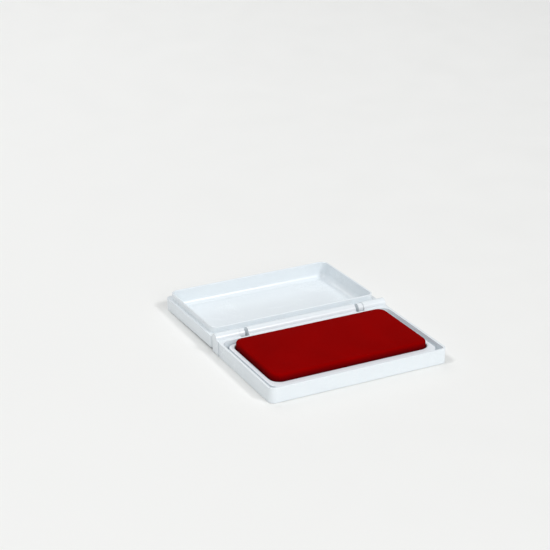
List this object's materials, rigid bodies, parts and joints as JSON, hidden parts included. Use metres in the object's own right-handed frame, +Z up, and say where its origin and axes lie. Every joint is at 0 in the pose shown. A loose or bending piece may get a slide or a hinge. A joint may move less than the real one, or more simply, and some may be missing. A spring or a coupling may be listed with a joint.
{
  "type": "ink pad",
  "caption": "Hinged white plastic case with a shallow lid laid open and a dark red cloth-covered felt ink pad in a rounded tray.",
  "frame": {"origin": "centre of the case's flat underside, on the surface that it stands on", "axes": "+Z up out of the pad, +X along the case's long side, +Y from the front towards the hinge and the opened lid"},
  "size_m": [0.098, 0.127, 0.0112],
  "materials": {
    "case_plastic": "moulded white plastic with a soft gloss",
    "tray_plastic": "moulded white plastic with a soft gloss",
    "inked_cloth": "fine woven cloth soaked with dark red ink",
    "plate_plastic": "plain stiff sheet",
    "inked_felt": "dense felt soaked with dark red ink"
  },
  "bodies": {
    "base": {"base_shell": "case_plastic", "pad_tray": "tray_plastic", "pad_cover": "inked_cloth", "backing_plate": "plate_plastic", "ink_felt": "inked_felt"},
    "lid": {"lid_shell": "case_plastic"}
  },
  "joints": [
    {"name": "lid_hinge", "type": "hinge", "parent": "base", "child": "lid", "pos_m": [0, 0.0338, 0.008], "axis": [1, 0, 0], "range_deg": [0, 181.04]}
  ]
}
